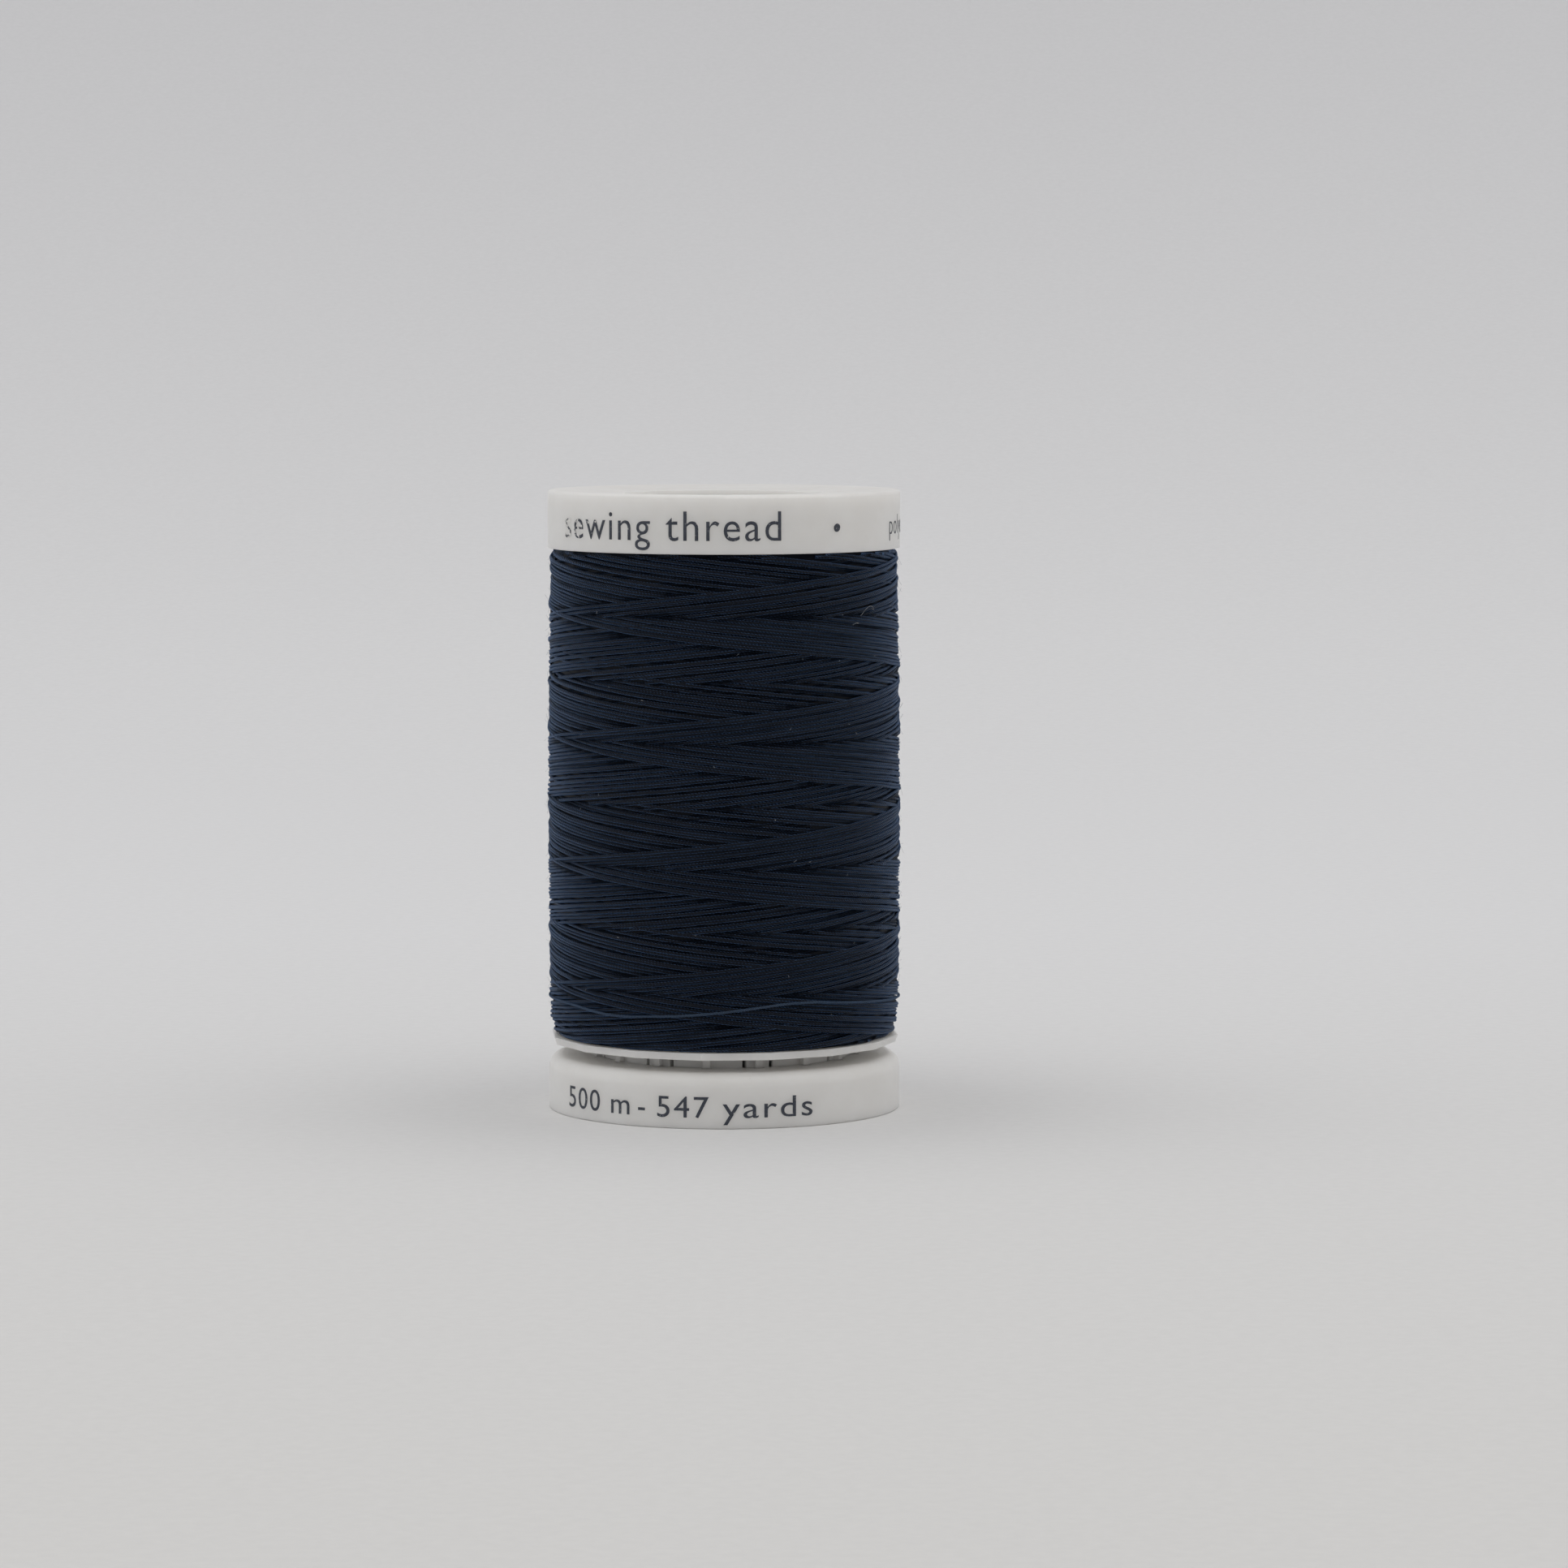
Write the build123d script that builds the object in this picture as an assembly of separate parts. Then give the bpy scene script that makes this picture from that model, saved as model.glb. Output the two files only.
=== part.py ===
from build123d import *
import math
import os

# A spool of sewing thread: a moulded winding core, a pressed-on top cap, a sliding snap base and the thread.
# Z is the spindle axis, pointing up, and the origin is the centre of the base's foot. All sizes are in
# millimetres. The model rests with its base open, standing clear of the locking flange by the base's travel.

# Outside
CAP_R = 16.0  # both caps
CLOSED_HEIGHT = 55.2  # with the base pushed home
BASE_TRAVEL = 1.15  # gap between the locking flange and the open base
TOP_CAP_H = 5.25
BASE_CAP_H = 4.95
CAP_WALL = 1.2  # outer wall and end plate of both caps
TOP_EDGE_R = 0.3  # rounding of the top cap's upper edge
BASE_EDGE_R = 1.2  # rounding of the base's upper edge
LOWER_EDGE_R = 0.15  # rounding of both caps' lower edges
DISH = 0.35  # how far the top face falls from its land to the spindle hub
LAND_W = 1.6  # flat land round the top face
TOP_WEB_H = 1.8
BASE_WEB_H = 1.4
BASE_WEB_IN = 12.8  # inner ends of the base's webs, clear of the hooks

# Winding core
BORE_R = 4.4  # takes a machine's spool pin
SLEEVE_R = 5.5
END_SHORT = 0.3  # how far the sleeve and the skirt stay inside the closed base
TUBE_R = 9.0  # the thread is wound on this
TUBE_WALL = 1.1
WEB_T = 0.8
WEB_COUNT = 8
UPPER_PLATE_T = 1.0
NECK_DEPTH = 1.15  # core's upper end, below the top cap's land

# Locking flange, with a skirt that guides the base, a tooth at each corner and a snap arm at every second one
FLANGE_R = 15.95  # over the corners of its upper face
FLANGE_T = 0.65
FLANGE_DRAFT = 20.0  # degrees that its edge leans in towards the lower face
SKIRT_R = 11.6
SKIRT_WALL = 0.8
TOOTH_COUNT = 16
TOOTH_T = 0.6
TOOTH_TIP_R = 12.15
TOOTH_DROP = 1.15  # how far a tooth hangs below the flange
ARM_ANGLE = 15.5  # degrees from the front (-Y) round to the first snap arm
ARM_W = 2.1
ARM_GAP = 0.35  # open slot in the skirt on each side of an arm
HOOK_REACH = 0.75
HOOK_LAND = 0.35
HOOK_H = 1.25
NOTCH_CLEAR = 0.2  # notch in the base's plate past the tooth inside it

# Fits
SLIDE_CLEAR = 0.08  # base plate round the core's skirt, radial
STOP_CLEAR = 0.05  # hook below the open base's plate
PRESS_BITE = 0.02  # top cap hub on the tube, radial
ROOT = 0.1  # how far joined features run into each other

# Thread
THREAD_R = 16.1  # wound radius at mid height, a little proud of the caps
THREAD_GAP = 0.02  # between the tube and the wound ring
UPPER_SHOULDER_R = 0.7
UPPER_DROP = 0.2  # how much smaller the package is below its upper shoulder
LOWER_DROP = 0.15  # how much smaller it is above its lower shoulder
LOWER_SHOULDER_H = 1.9
LOWER_SHOULDER_R = 1.25
THREAD_D = 0.24
END_CLEAR = 0.14  # free end's last wrap, above the wound ring

# Levels
height = CLOSED_HEIGHT + BASE_TRAVEL
flange_z = BASE_CAP_H + BASE_TRAVEL
winding_z = flange_z + FLANGE_T
upper_plate_z = height - TOP_CAP_H
plate_under_z = BASE_CAP_H - CAP_WALL
neck_z = height - NECK_DEPTH
tooth_step = 360.0 / TOOTH_COUNT
arm_angles = [ARM_ANGLE - 90 + 2 * tooth_step * i for i in range(TOOTH_COUNT // 2)]
plain_angles = [a + tooth_step for a in arm_angles]


def ring(outer, inner, low, high):
    """A tube between two radii and two levels."""
    upright = (Align.CENTER, Align.CENTER, Align.MIN)
    tall = high - low
    return Pos(0, 0, low) * (Cylinder(outer, tall, align=upright) - Cylinder(inner, tall, align=upright))


def bar(inner, outer, wide, low, high):
    """A radial bar along +X, between two radii and two levels."""
    return Pos((inner + outer) / 2, 0, (low + high) / 2) * Box(outer - inner, wide, high - low)


def spread(shape, angles):
    """Copies of a shape turned about Z to each angle."""
    return [Rot(0, 0, a) * shape for a in angles]


def turned(points):
    """A solid of revolution about Z from its half section, given as radius and level."""
    return revolve(Plane.XZ * make_face(Polyline(*points, close=True)), Axis.Z)


def snap_arm():
    """One arm along +X, hanging from the flange through the base and hooking outwards under its plate."""
    back = SKIRT_R - SKIRT_WALL
    hook_z = plate_under_z - STOP_CLEAR
    section = Polyline(
        (back, flange_z + FLANGE_T / 2),
        (SKIRT_R, flange_z + FLANGE_T / 2),
        (SKIRT_R, hook_z),
        (SKIRT_R + HOOK_REACH, hook_z),
        (SKIRT_R + HOOK_REACH, hook_z - HOOK_LAND),
        (SKIRT_R, hook_z - HOOK_H),
        (back, hook_z - HOOK_H),
        close=True,
    )
    return extrude(Plane.XZ * make_face(section), ARM_W / 2, both=True)


def winding_core():
    """Tube, spindle sleeve and webs, with the plate under the top cap, the locking flange and its skirt."""
    end_z = BASE_TRAVEL + END_SHORT
    tube = ring(TUBE_R, TUBE_R - TUBE_WALL, flange_z, neck_z)
    sleeve = ring(SLEEVE_R, BORE_R, end_z, neck_z)
    web = bar(SLEEVE_R - ROOT, TUBE_R - TUBE_WALL + ROOT, WEB_T, flange_z, neck_z - WEB_T)
    plate_r = CAP_R - CAP_WALL - PRESS_BITE
    upper_plate = ring(plate_r, TUBE_R - ROOT, upper_plate_z, upper_plate_z + UPPER_PLATE_T)
    outline = Rot(0, 0, ARM_ANGLE - 90) * RegularPolygon(FLANGE_R, TOOTH_COUNT)
    flange = Pos(0, 0, winding_z) * extrude(outline, -FLANGE_T, taper=FLANGE_DRAFT)
    flange -= Pos(0, 0, flange_z) * Cylinder(SLEEVE_R - ROOT, 4 * FLANGE_T)
    skirt = ring(SKIRT_R, SKIRT_R - SKIRT_WALL, end_z, flange_z + ROOT)
    window = bar(SKIRT_R - 2 * SKIRT_WALL, SKIRT_R + SKIRT_WALL, ARM_W + 2 * ARM_GAP, 0, flange_z)
    skirt = Part() + (skirt - spread(window, arm_angles))
    tooth = bar(SKIRT_R - ROOT, TOOTH_TIP_R, TOOTH_T, flange_z - TOOTH_DROP, flange_z + FLANGE_T / 2)
    webs = spread(web, [360.0 / WEB_COUNT * i + ARM_ANGLE - 90 for i in range(WEB_COUNT)])
    teeth = spread(tooth, arm_angles + plain_angles)
    arms = spread(snap_arm(), arm_angles)
    return Part() + [tube, sleeve, upper_plate, flange, skirt] + webs + teeth + arms


def top_cap():
    """Printed upper flange: a shallow dished cap pressed over the tube's neck, stiffened by hidden webs."""
    wall_r = CAP_R - CAP_WALL
    hub_in = TUBE_R - PRESS_BITE
    hub_out = hub_in + CAP_WALL
    plate_z = height - CAP_WALL
    hub_z = upper_plate_z + UPPER_PLATE_T
    body = turned(
        [
            (hub_in, hub_z),
            (hub_out, hub_z),
            (hub_out, plate_z - DISH),
            (wall_r, plate_z),
            (wall_r, upper_plate_z),
            (CAP_R, upper_plate_z),
            (CAP_R, height),
            (CAP_R - LAND_W, height),
            (hub_in, height - DISH),
        ]
    )
    rim = body.edges().filter_by(GeomType.CIRCLE).group_by(SortBy.RADIUS)[-1].sort_by(Axis.Z)
    body = fillet(rim[-1], TOP_EDGE_R)
    rim = body.edges().filter_by(GeomType.CIRCLE).group_by(SortBy.RADIUS)[-1].sort_by(Axis.Z)
    body = fillet(rim[0], LOWER_EDGE_R)
    web = bar(hub_out - ROOT, wall_r + ROOT, WEB_T, plate_z - TOP_WEB_H, plate_z - DISH / 2)
    return Part() + [body] + spread(web, [360.0 / WEB_COUNT * i for i in range(WEB_COUNT)])


def base_cap():
    """Sliding base: a foot ring with a plate round the core's skirt, notched for the teeth."""
    wall_r = CAP_R - CAP_WALL
    guide_r = SKIRT_R + SLIDE_CLEAR
    body = turned(
        [
            (guide_r, plate_under_z),
            (wall_r, plate_under_z),
            (wall_r, 0),
            (CAP_R, 0),
            (CAP_R, BASE_CAP_H),
            (guide_r, BASE_CAP_H),
        ]
    )
    rim = body.edges().filter_by(GeomType.CIRCLE).group_by(SortBy.RADIUS)[-1].sort_by(Axis.Z)
    body = fillet(rim[-1], BASE_EDGE_R)
    rim = body.edges().filter_by(GeomType.CIRCLE).group_by(SortBy.RADIUS)[-1].sort_by(Axis.Z)
    body = fillet(rim[0], LOWER_EDGE_R)
    web = bar(BASE_WEB_IN, wall_r + ROOT, WEB_T, plate_under_z - BASE_WEB_H, plate_under_z + ROOT)
    half_steps = [a + tooth_step / 2 for a in arm_angles + plain_angles]
    notch_out = TOOTH_TIP_R + NOTCH_CLEAR
    low, high = plate_under_z - CAP_WALL, BASE_CAP_H + CAP_WALL
    notch = bar(SKIRT_R - SKIRT_WALL, notch_out, TOOTH_T + 2 * NOTCH_CLEAR, low, high)
    return Part() + [body] + spread(web, half_steps) - spread(notch, arm_angles + plain_angles)


def thread_package():
    """The wound thread as one soft ring, slightly barrelled, with rounded shoulders at both ends."""
    low, high = winding_z, upper_plate_z
    upper_r, lower_r = THREAD_R - UPPER_DROP, THREAD_R - LOWER_DROP
    upper_z, lower_z = high - UPPER_SHOULDER_R, low + LOWER_SHOULDER_H
    side = Spline((lower_r, lower_z), (THREAD_R, (low + high) / 2), (upper_r, upper_z))
    top_end = (upper_r - 0.8 * UPPER_SHOULDER_R, high)
    top_mid = (upper_r - 0.2 * UPPER_SHOULDER_R, high - 0.25 * UPPER_SHOULDER_R)
    top = ThreePointArc((upper_r, upper_z), top_mid, top_end)
    bottom_end = (lower_r - LOWER_SHOULDER_R, low)
    bottom_mid = (lower_r - 0.32 * LOWER_SHOULDER_R, low + 0.35 * LOWER_SHOULDER_H)
    bottom = ThreePointArc(bottom_end, bottom_mid, (lower_r, lower_z))
    inner = TUBE_R + THREAD_GAP
    ends = Polyline(top_end, (inner, high), (inner, low), bottom_end)
    return revolve(Plane.XZ * make_face([side, top, ends, bottom]), Axis.Z)


def thread_end():
    """The free end of the thread: a last wrap low on the package, then a drop over the flange's edge."""
    wrap_r = THREAD_R - LOWER_DROP + END_CLEAR + THREAD_D / 2
    edge_r = FLANGE_R + END_CLEAR
    levels = {110: 9.9, 160: 10.2, 208: 10.4, 233: 9.7, 263: 10.2, 295: 11.2, 320: 10.7, 348: 10.2}
    levels |= {400: 9.9, 425: 9.3, 442: 8.0, 454: flange_z + FLANGE_T / 2}
    points = []
    for degrees, level in levels.items():
        radius = wrap_r if level > winding_z else edge_r
        angle = math.radians(degrees)
        points.append((radius * math.cos(angle), radius * math.sin(angle), level))
    line = Spline(*points)
    section = Plane(origin=line @ 0, z_dir=line % 0) * Circle(THREAD_D / 2)
    return sweep(section, path=line)


os.makedirs("parts", exist_ok=True)
for make in (winding_core, top_cap, base_cap, thread_package, thread_end):
    export_step(make(), f"parts/{make.__name__}.step")
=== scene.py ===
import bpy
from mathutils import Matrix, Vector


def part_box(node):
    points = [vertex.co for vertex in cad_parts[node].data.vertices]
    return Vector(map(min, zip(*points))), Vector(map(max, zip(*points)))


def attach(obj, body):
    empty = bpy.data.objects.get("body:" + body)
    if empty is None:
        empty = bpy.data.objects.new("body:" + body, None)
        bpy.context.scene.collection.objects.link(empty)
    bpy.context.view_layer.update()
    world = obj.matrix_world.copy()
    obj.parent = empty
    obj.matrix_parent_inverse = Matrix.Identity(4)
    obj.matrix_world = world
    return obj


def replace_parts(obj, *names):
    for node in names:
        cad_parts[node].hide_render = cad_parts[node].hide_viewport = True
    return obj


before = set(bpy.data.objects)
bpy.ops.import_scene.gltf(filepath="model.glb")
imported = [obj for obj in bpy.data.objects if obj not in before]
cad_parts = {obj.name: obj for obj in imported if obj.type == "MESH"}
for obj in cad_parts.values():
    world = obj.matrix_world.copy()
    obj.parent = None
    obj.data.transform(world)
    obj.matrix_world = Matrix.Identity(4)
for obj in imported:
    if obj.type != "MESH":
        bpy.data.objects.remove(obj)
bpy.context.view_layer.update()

import math

import bmesh
import bpy
import numpy as np
from mathutils import Vector

# Lengths are millimetres until a mesh is made, but metres in materials, the floor and the camera. Angles are
# degrees, but a turn, a bearing and what ends in RAD are radians.
MM = 0.001
rng = np.random.default_rng(547)

# The space the CAD package fills
package_low, package_high = (corner.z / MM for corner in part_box("thread_package"))
package_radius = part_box("thread_package")[1].x / MM
cap_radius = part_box("top_cap")[1].x / MM
top_band_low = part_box("top_cap")[0].z / MM
base_band_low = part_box("base_cap")[0].z / MM

# Its outline: a slight barrel with a rounded shoulder at each end
WIDEST_AT = 0.45  # share of the height
END_DROP, MOST_DROP = 0.2, 0.24
TOP_SHOULDER_H, TOP_SHOULDER_R = 0.75, 0.75
BOTTOM_SHOULDER_H, BOTTOM_SHOULDER_R = 1.9, 1.25
SHOULDER_CUT = 0.96  # less than a whole quarter round, so that its end isn't upright
OUTLINE_PROUD = 0.12  # tops of the strands above the map's mean

# One strand, wider along the spindle than it is deep
STRAND_HALF_WIDTH = 0.128
STRAND_HALF_DEPTH = 0.098
STRAND_SPACING = 0.266
PLY_PITCH = 0.96

# Painted shade and light: a strand's colour, specular and sheen are darkest where it lies RISE_SHADED mm
# below the surface nearby, and lightest that far above it, standing in for the shade between the strands and
# the light on those that stand proud
SHADE_TONES = 32
RISE_SHADED = 0.06

# The winding machine's traverse
TURNS_PER_DOUBLE_STROKE = 8
LEAD = 11.2  # mm along the spindle to a turn
TURN_TOP = 8.0  # degrees over which the strand turns back at the top
TURN_BOTTOM = 50.0
FIRST_ANGLE = 12.0
CYCLE = 42  # double strokes that cover the package once
RIBBON = (2, 5)  # fewest and most double strokes that lie together, with an open line on each side
RIBBON_CLOSED = 0.16  # share of its place in the ribbon that a strand moves towards the middle
RIBBON_DRIFT = 2.2  # degrees round the package
STROKE_DRIFT = 1.5
END_MARGIN = 0.13  # between the guide's ends of travel and the package's, before the drift of each end
LOW_END_DRIFT, HIGH_END_DRIFT = 0.22, 0.16
WEAVE, WEAVE_WINDOW = 0.02, 90  # how far a stroke weaves from its line, and over how many samples

# How a strand settles on the ones below
SLIP_ROWS = 5  # rows of the map that it may slide, either way
SLIP_REACH = 0.03
SLIP_SOFTNESS = 0.02  # the extra height that makes a place much less likely
SLIP_EASE = 3.0  # mm along the strand over which it slides
SINK = 0.014
GIVE = 0.2  # share of a bridged hollow that it presses into
GIVE_SPAN, BEND_SPAN = 4.0, 0.6  # mm along the strand
COVERS_DEPTH = 1.0  # first guess at how deep two covers lie
BED_SPAN = 0.3  # mm along the spindle
LEVELLED = 0.85  # share of the broad humps that settles back into the layers below
HUMP_SPAN = (5.0, 0.9)  # mm round the package and along the spindle
NEARBY_SPAN = (3.0, 0.6)
PROUD_KEPT = 0.8  # share of a strand's own rise above its neighbours that stays, up to PROUD_MOST mm
PROUD_MOST = 0.06
LEVEL_EASE, SHADE_TONE_EASE = 1.5, 6.0  # mm along the strand over which its height and its painted shade change

# The height map of the package
COLUMNS = 720
ROW = 0.02
BED_RADIUS = 15.2
COLUMN_STEP = 2 * math.pi * BED_RADIUS / COLUMNS

# The strands' meshes
STRAND_SIDES = 8
SEGMENT = 7  # samples to a segment
SHOWN_MARGIN = 25  # samples over which a strand that has just dived under another is still meshed
PLY_SHIFT = 7.3  # mm from one stroke's ply pattern to the next one's


# ---------------------------------------------------------------------------------------------
# Small helpers
# ---------------------------------------------------------------------------------------------
def new_object(name, data):
    made = bpy.data.objects.new(name, data)
    bpy.context.scene.collection.objects.link(made)
    return made


def quads_mesh(name, points, quads, uv=None):
    """A smooth mesh of quads from arrays: points in mm, four indices to a face, and a UV to each corner."""
    mesh = bpy.data.meshes.new(name)
    mesh.vertices.add(len(points))
    mesh.vertices.foreach_set("co", (points * MM).astype(np.float32).ravel())
    mesh.loops.add(quads.size)
    mesh.loops.foreach_set("vertex_index", quads.astype(np.int32).ravel())
    mesh.polygons.add(len(quads))
    mesh.polygons.foreach_set("loop_start", np.arange(0, quads.size, 4, dtype=np.int32))
    mesh.update(calc_edges=True)
    mesh.shade_smooth()
    if uv is not None:
        mesh.uv_layers.new(name="UVMap").data.foreach_set("uv", uv.astype(np.float32).ravel())
    mesh.validate()
    return mesh


def smoothed(values, window):
    """Moving average with held ends."""
    window = max(1, int(window) | 1)
    padded = np.pad(values, window // 2, mode="edge")
    return np.convolve(padded, np.ones(window) / window, mode="valid")


def wander(count, window, size):
    """Smooth random drift of about the given size."""
    drift = smoothed(rng.normal(0, 1, count + 2 * window), window)[window : window + count]
    return size * drift * math.sqrt(window)


# ---------------------------------------------------------------------------------------------
# Tubes: strands, plies and fibres
# ---------------------------------------------------------------------------------------------
class TubeBuilder:
    """Gathers tubes into one mesh. Each tube is a path of centres with its own half width and half depth."""

    def __init__(self, sides):
        self.sides = sides
        self.points, self.quads, self.uv, self.total = [], [], [], 0

    def add(self, centres, outward, half_width, half_depth, start_length=0.0, tone=SHADE_TONES // 2):
        """Adds one tube. outward is the unit direction away from the surface below, one to each centre.

        tone is the painted shade level, a whole number or one to each centre, that the whole part of V
        carries to the material.
        """
        count, sides = len(centres), self.sides
        along = np.gradient(centres, axis=0)
        along /= np.linalg.norm(along, axis=1, keepdims=True)
        across = np.cross(outward, along)
        across /= np.linalg.norm(across, axis=1, keepdims=True)
        up = np.cross(along, across)
        turn = np.arange(sides) * 2 * math.pi / sides
        wide = np.broadcast_to(half_width, count)[:, None, None]
        deep = np.broadcast_to(half_depth, count)[:, None, None]
        ring = (
            centres[:, None, :]
            + up[:, None, :] * np.cos(turn)[None, :, None] * deep
            + across[:, None, :] * np.sin(turn)[None, :, None] * wide
        )
        step = np.linalg.norm(np.diff(centres, axis=0), axis=1)
        length = start_length + np.concatenate([[0], np.cumsum(step)])
        index = self.total + np.arange(count * sides).reshape(count, sides)
        after = np.roll(index, -1, axis=1)
        wall = np.stack([index[:-1], index[1:], after[1:], after[:-1]], axis=-1)
        v0 = np.broadcast_to(tone, count)[:-1, None] + np.arange(sides) / sides
        v1 = v0 + 1 / sides
        u0 = np.broadcast_to(length[:-1, None], v0.shape)
        u1 = np.broadcast_to(length[1:, None], v0.shape)
        wall_uv = np.stack(
            [np.stack([u0, v0], -1), np.stack([u1, v0], -1), np.stack([u1, v1], -1), np.stack([u0, v1], -1)],
            axis=-2,
        )
        self.points += [ring.reshape(-1, 3)]
        self.quads += [wall.reshape(-1, 4)]
        self.uv += [wall_uv.reshape(-1, 2)]
        self.total += count * sides
        self._close(index[0][::-1], length[0])
        self._close(index[-1], length[-1])

    def _close(self, loop, length):
        """Closes one end of a tube whose side count is even with a strip of quads."""
        sides = self.sides
        strip = [
            [loop[i], loop[i + 1], loop[sides - 2 - i], loop[sides - 1 - i]] for i in range(sides // 2 - 1)
        ]
        self.quads += [np.array(strip)]
        self.uv += [np.tile([length, 0.0], (4 * len(strip), 1))]

    def build(self, name):
        arrays = (np.concatenate(part) for part in (self.points, self.quads, self.uv))
        return new_object(name, quads_mesh(name, *arrays))


# ---------------------------------------------------------------------------------------------
# The winding, laid strand by strand on a height map of the package
# ---------------------------------------------------------------------------------------------
SLANT_RAD = math.atan(LEAD / (2 * math.pi * package_radius))
ADVANCE = 360.0 * STRAND_SPACING / (LEAD * math.cos(SLANT_RAD))  # degrees from one double stroke to the next
rows = int((package_high - package_low) / ROW)
row_z = package_low + (np.arange(rows) + 0.5) * ROW
half_rows = int(STRAND_HALF_WIDTH / ROW)
section_rows = np.arange(-half_rows, half_rows + 1)
section = STRAND_HALF_DEPTH * np.sqrt(1 - (section_rows * ROW / STRAND_HALF_WIDTH) ** 2)
half_stroke = 180.0 * TURNS_PER_DOUBLE_STROKE
stroke_samples = int(half_stroke / 360 * COLUMNS)


def target_radius(z):
    """Outside of the wound package: a slight barrel with rounded ends, tighter at the top than the bottom."""
    share = (z - package_low) / (package_high - package_low)
    barrel = package_radius - np.minimum(END_DROP * ((share - WIDEST_AT) / WIDEST_AT) ** 2, MOST_DROP)
    top = np.clip(1 - (package_high - z) / TOP_SHOULDER_H, 0, 1)
    bottom = np.clip(1 - (z - package_low) / BOTTOM_SHOULDER_H, 0, 1)
    below_top = barrel - TOP_SHOULDER_R * (1 - np.sqrt(1 - SHOULDER_CUT * top**2))
    return below_top - BOTTOM_SHOULDER_R * (1 - np.sqrt(1 - SHOULDER_CUT * bottom**2))


def taut(support):
    """Height of a strand pulled tight over its support on a round package: the unrolled path's upper hull."""
    x = np.arange(len(support)) * COLUMN_STEP
    bend = x * x / (2 * BED_RADIUS)
    flat = support - bend
    xs, ys = x.tolist(), flat.tolist()
    keep = []
    for i in range(len(xs)):
        while len(keep) > 1:
            a, b = keep[-2], keep[-1]
            if (ys[b] - ys[a]) * (xs[i] - xs[a]) > (ys[i] - ys[a]) * (xs[b] - xs[a]):
                break
            keep.pop()
        keep.append(i)
    return np.interp(x, x[keep], flat[keep]) + bend


def traverse(angle, low_end, high_end):
    """Height of the guide at each path angle: a triangle wave with a rounded turn at each end."""
    phase = (angle % (2 * half_stroke)) / (2 * half_stroke)
    rise = 1 - np.abs(2 * phase - 1)
    low_turn, high_turn = TURN_BOTTOM / half_stroke, TURN_TOP / half_stroke
    eased = np.where(rise < low_turn, rise**2 / (2 * low_turn) + low_turn / 2, rise)
    rest = 1 - eased
    eased = 1 - np.where(rest < high_turn, rest**2 / (2 * high_turn) + high_turn / 2, rest)
    return low_end + (high_end - low_end) * (eased - low_turn / 2) / (1 - low_turn / 2 - high_turn / 2)


def support_under(height, columns, centre_rows):
    """Height at which a strand's centre rests on the map."""
    index = np.clip(centre_rows[:, None] + section_rows[None, :], 0, rows - 1)
    return (height[columns[:, None], index] + section[None, :]).max(axis=1)


def cover_angles():
    """Angle of each double stroke of one cover: neighbours lie close in ribbons, with open lines between."""
    ribbons = []
    laid = 0
    while laid < CYCLE:
        size = min(int(rng.integers(RIBBON[0], RIBBON[1] + 1)), CYCLE - laid)
        place = np.arange(size) - (size - 1) / 2
        middle = ADVANCE * (laid + (size - 1) / 2) + rng.normal(0, RIBBON_DRIFT)
        ribbons.append(middle + ADVANCE * (1 - RIBBON_CLOSED) * place)
        laid += size
    return np.concatenate(ribbons)


def stroke_draws():
    """Where each stroke of two covers starts round the package, its low and high end, and how it weaves."""
    angles = np.concatenate([cover_angles(), cover_angles()])
    return [
        (
            FIRST_ANGLE - angle + rng.normal(0, STROKE_DRIFT),
            package_low + END_MARGIN + abs(rng.normal(0, LOW_END_DRIFT)),
            package_high - END_MARGIN - abs(rng.normal(0, HIGH_END_DRIFT)),
            wander(stroke_samples + 1, WEAVE_WINDOW, WEAVE),
        )
        for angle in np.repeat(angles, 2)
    ]


def lay_strands(bed, draws):
    """Lays every stroke in order. Returns the height map, the number of the stroke on top, and all paths."""
    height = np.repeat(bed[None, :], COLUMNS, axis=0)
    owner = np.full(height.shape, -1, np.int32)
    slides = np.arange(-SLIP_ROWS, SLIP_ROWS + 1)
    inside = (half_rows, rows - 1 - half_rows)
    paths = []
    for number, (start, low_end, high_end, drift) in enumerate(draws):
        local = (np.arange(stroke_samples + 1) / stroke_samples + number % 2) * half_stroke
        z = traverse(local, low_end, high_end) + drift
        angle = local + start
        columns = np.round(angle / 360 * COLUMNS).astype(int) % COLUMNS
        centre = np.clip(((z - package_low) / ROW).astype(int), *inside)
        rests = np.stack([support_under(height, columns, centre + slide) for slide in slides])
        pull = np.exp(-(rests - rests.min(axis=0)) / SLIP_SOFTNESS)
        pull = pull * np.exp(-((slides[:, None] * ROW / SLIP_REACH) ** 2))
        slip = smoothed((pull * slides[:, None]).sum(axis=0) / pull.sum(axis=0), SLIP_EASE / COLUMN_STEP)
        centre = np.clip(np.round(centre + slip).astype(int), *inside)
        z = np.clip(z + slip * ROW, row_z[inside[0]], row_z[inside[1]])
        support = support_under(height, columns, centre)
        level = taut(support)
        level -= GIVE * (level - smoothed(support, GIVE_SPAN / COLUMN_STEP))
        level = smoothed(level, BEND_SPAN / COLUMN_STEP) - SINK
        index = centre[:, None] + section_rows[None, :]
        surface = level[:, None] + section[None, :]
        below = height[columns[:, None], index]
        height[columns[:, None], index] = np.maximum(below, surface)
        owner[columns[:, None], index] = np.where(surface > below, number, owner[columns[:, None], index])
        paths.append((angle, columns, centre, z, level))
    return height, owner, paths


def local_mean(values, along, up):
    """Mean of the map over a window given in mm round the package and in mm along the spindle."""
    window = int(along / COLUMN_STEP) | 1
    wrapped = np.concatenate([values[-window:], values, values[:window]])
    wrapped = np.apply_along_axis(smoothed, 0, wrapped, window)[window:-window]
    return np.apply_along_axis(smoothed, 1, wrapped, up / ROW)


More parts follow.
